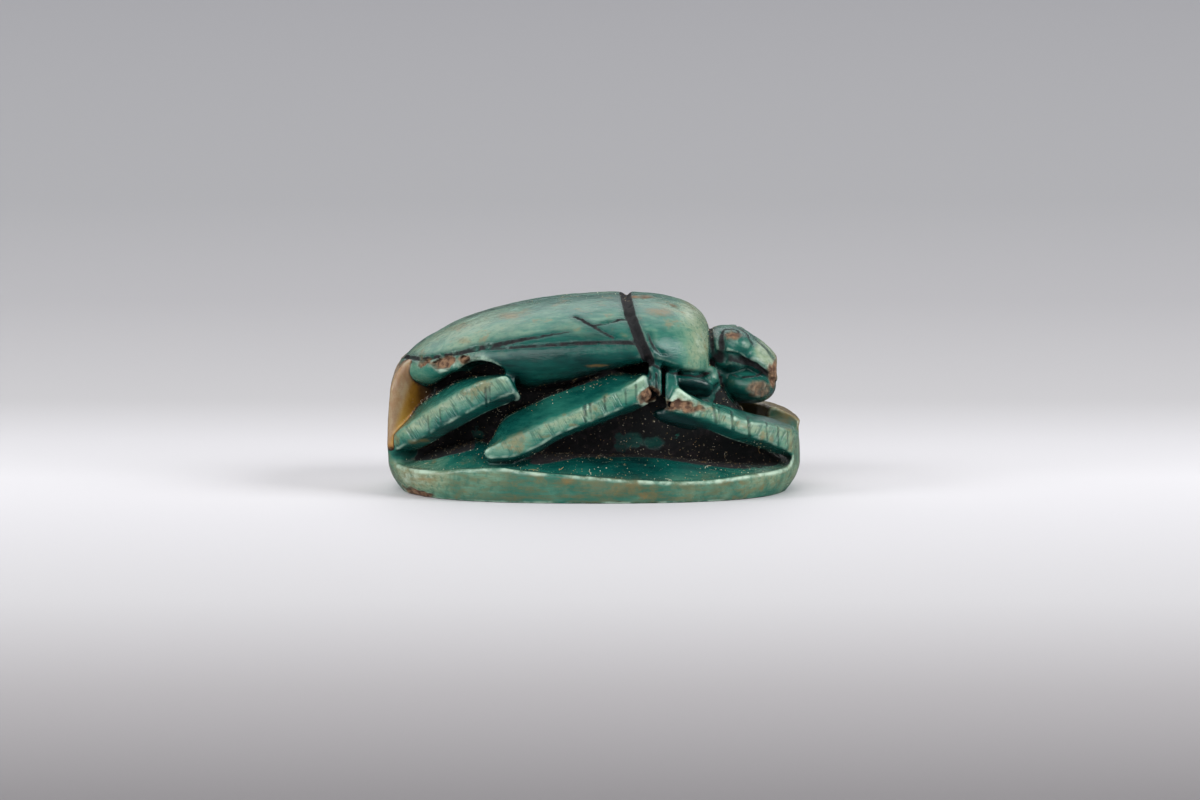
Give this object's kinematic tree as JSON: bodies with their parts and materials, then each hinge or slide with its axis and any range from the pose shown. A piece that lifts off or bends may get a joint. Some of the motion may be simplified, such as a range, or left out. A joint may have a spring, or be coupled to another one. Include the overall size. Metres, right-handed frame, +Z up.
{
  "type": "scarab amulet",
  "caption": "Carved and glazed stone beetle with folded legs on an oval base, pierced lengthwise for a thread, lies on its flat underside.",
  "frame": {"origin": "middle of the flat underside of the base", "axes": "+X from the tail towards the head, +Y towards the beetle's left side, +Z up from the underside to the back"},
  "size_m": [0.018, 0.0128, 0.0085],
  "materials": {
    "glazed_steatite": "glazed"
  },
  "bodies": {
    "root": {"scarab": "glazed_steatite"}
  },
  "joints": []
}
